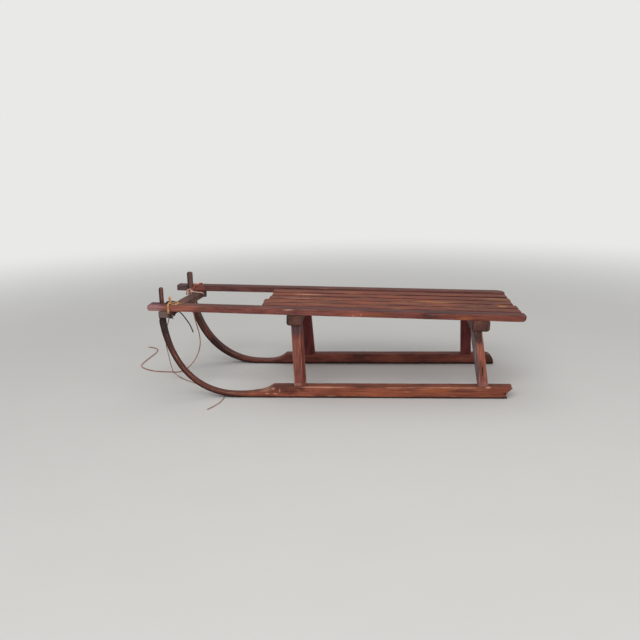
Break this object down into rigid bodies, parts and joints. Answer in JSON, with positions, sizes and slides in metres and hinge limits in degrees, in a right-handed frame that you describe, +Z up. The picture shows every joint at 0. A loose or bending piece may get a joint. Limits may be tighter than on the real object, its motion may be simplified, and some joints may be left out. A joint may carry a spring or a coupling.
{
  "type": "slatted wooden bench sled",
  "caption": "Slatted wooden bench sled: seat rails and slats over posts and cross beams, bent runners with horns and steel strips, a lashed front bar and loose pull cords.",
  "frame": {"origin": "bottom centre of the sled without its cords, on the surface it stands on", "axes": "+Z up, -X towards the bent front, +X to the rear, -Y the side nearer to the picture's camera, called left, +Y the far side, called right"},
  "size_m": [1.1705, 0.5915, 0.3002],
  "materials": {
    "seat_wood": "red-brown stained wood, worn to bare grain on the edges",
    "frame_wood": "red-brown stained wood, duller and darker low down",
    "bar_wood": "grey-brown weathered plain stick",
    "strip_steel": "flat steel strip gone brown with rust",
    "pull_cord": "thin twisted cord, grey-brown",
    "lace": "dark stiff lace",
    "lashing_light": "golden straw-coloured cord",
    "lashing_dark": "faded red-brown cord"
  },
  "bodies": {
    "root": {"runner_left": "frame_wood", "runner_right": "frame_wood", "strip_left": "strip_steel", "strip_right": "strip_steel", "rail_left": "seat_wood", "rail_right": "seat_wood", "lashing_left": "lashing_light", "lashing_right": "lashing_dark", "post_front_left": "frame_wood", "post_front_right": "frame_wood", "post_rear_left": "frame_wood", "post_rear_right": "frame_wood", "crossbeam_front": "frame_wood", "crossbeam_rear": "frame_wood", "cross_bar": "bar_wood", "slat_1": "seat_wood", "slat_2": "seat_wood", "slat_3": "seat_wood", "slat_4": "seat_wood", "slat_5": "seat_wood", "pull_cord_long": "pull_cord", "pull_cord_short": "pull_cord", "lace_end": "lace"}
  },
  "joints": []
}
